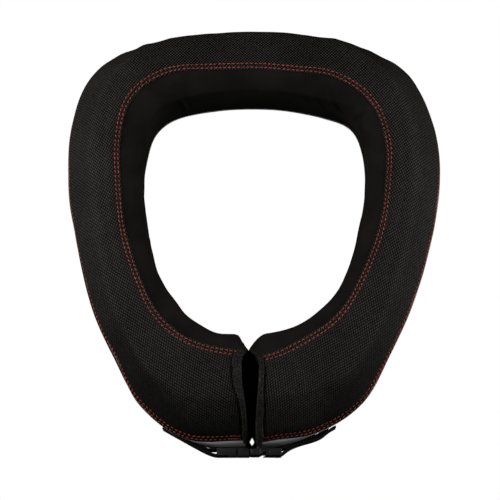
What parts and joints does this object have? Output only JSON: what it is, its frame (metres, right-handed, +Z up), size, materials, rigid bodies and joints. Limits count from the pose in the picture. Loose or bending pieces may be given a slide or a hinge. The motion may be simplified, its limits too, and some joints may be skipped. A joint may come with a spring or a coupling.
{
  "type": "protective neck collar",
  "caption": "C-shaped padded collar that lies on the shoulders round the neck to limit head tilt in sport, with a lined neck opening and a front closure with webbing and a side-release buckle.",
  "frame": {"origin": "on the floor under the middle of the collar's box", "axes": "+Z up, the collar lying flat on its base; -Y towards the front closure and buckle, +Y towards the nape; +X to the right seen from the front and above"},
  "size_m": [0.2894, 0.3309, 0.0609],
  "materials": {
    "woven_cover": "black basket-weave nylon over foam",
    "lining": "smooth matt black stretch cloth",
    "base_cloth": "mid-grey plain cloth",
    "brushed_loop": "dark grey brushed loop cloth",
    "webbing": "black ribbed nylon webbing",
    "buckle_plastic": "black moulded acetal, fine texture",
    "thread": "red-orange polyester sewing thread"
  },
  "bodies": {
    "root": {"padded_ring": "woven_cover", "neck_lining": "lining", "base_panel": "base_cloth", "end_cap_left": "brushed_loop", "end_cap_right": "brushed_loop", "strap_left": "webbing", "strap_right": "webbing", "buckle_socket": "buckle_plastic", "buckle_plug": "buckle_plastic"}
  },
  "joints": []
}
